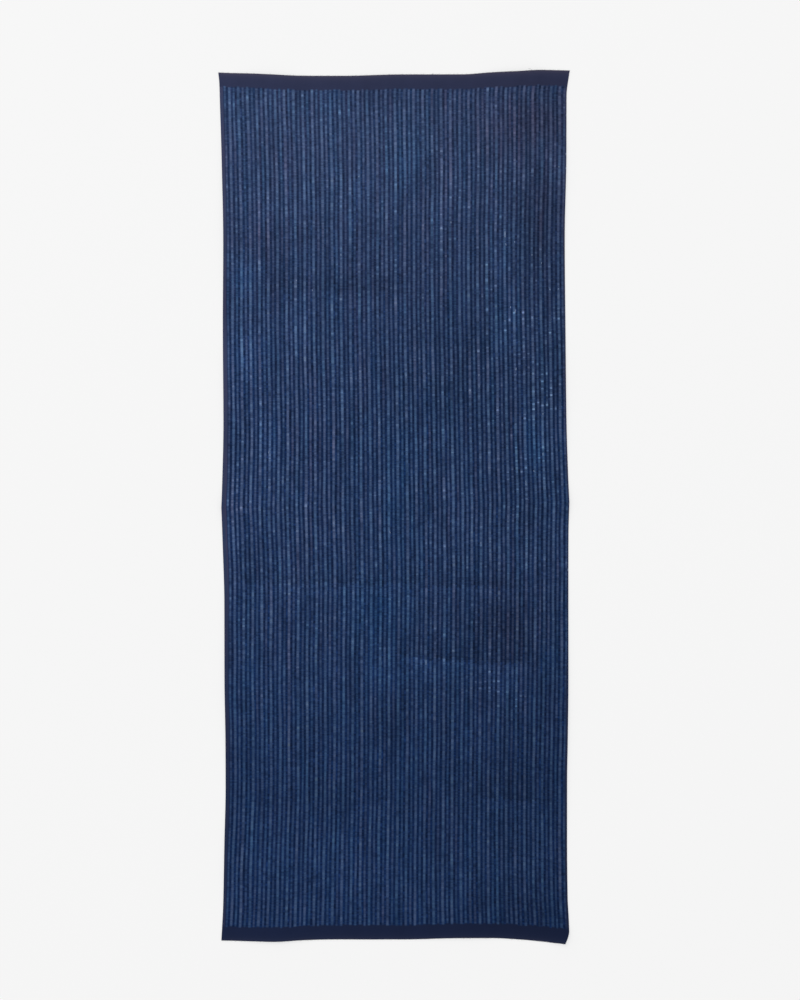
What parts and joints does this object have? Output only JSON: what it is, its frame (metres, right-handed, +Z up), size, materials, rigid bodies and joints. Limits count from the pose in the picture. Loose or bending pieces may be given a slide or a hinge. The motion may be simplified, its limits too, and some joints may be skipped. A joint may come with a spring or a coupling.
{
  "type": "tenugui towel",
  "caption": "Thin rectangular cotton hand towel laid out flat, raw cut ends, fine stripes along its length, low pressed cross-fold.",
  "frame": {"origin": "middle of the cloth's outline, on the surface that it lies on", "axes": "+Y along the cloth towards the end shown at the top of the picture, +X across it to the picture's right, +Z up out of the face that shows"},
  "size_m": [0.3636, 0.9036, 0.0049],
  "materials": {
    "indigo_cotton": "matte plain-weave cotton dyed dark indigo, with fine paler blue stripes along the length, uneven and speckled, and a plain band at each cut end"
  },
  "bodies": {
    "root": {"cloth": "indigo_cotton"}
  },
  "joints": []
}
